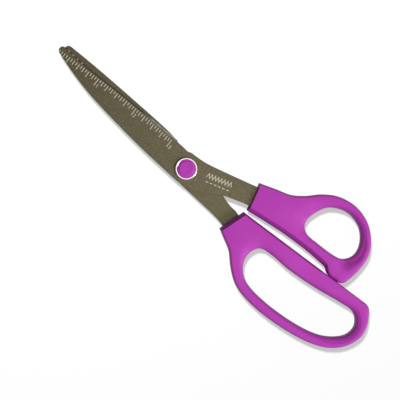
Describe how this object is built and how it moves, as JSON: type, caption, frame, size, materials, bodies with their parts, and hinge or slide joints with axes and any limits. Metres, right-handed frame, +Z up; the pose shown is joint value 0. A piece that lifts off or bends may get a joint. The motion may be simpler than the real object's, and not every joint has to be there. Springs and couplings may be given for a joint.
{
  "type": "pinking shears",
  "caption": "Pinking shears with bent moulded loop handles, meshing ridged blades on a screw pivot, and a ruler scale along the front blade.",
  "frame": {"origin": "on the pivot axis, at the flat end of the pivot screw, in the plane the closed shears rest on", "axes": "+X from the pivot to the blade tips, +Y towards the finger loop, +Z up out of the front blade's face"},
  "size_m": [0.2236, 0.0768, 0.011],
  "materials": {
    "coating": "satin, finely speckled dark titanium-coloured coating on steel",
    "plastic": "semi-gloss purple plastic",
    "bright": "polished steel",
    "nylon": "matt dark nylon"
  },
  "bodies": {
    "back": {"back_blade": "coating", "finger_handle": "plastic", "pivot_screw": "bright", "pivot_cap": "plastic", "thrust_washer": "nylon", "spring_washer": "bright", "pivot_nut": "bright"},
    "front": {"front_blade": "coating", "thumb_handle": "plastic"}
  },
  "joints": [
    {"name": "blade_pivot", "type": "hinge", "parent": "back", "child": "front", "pos_m": [0, 0, 0], "axis": [0, 0, 1], "range_deg": [0, 55]}
  ]
}
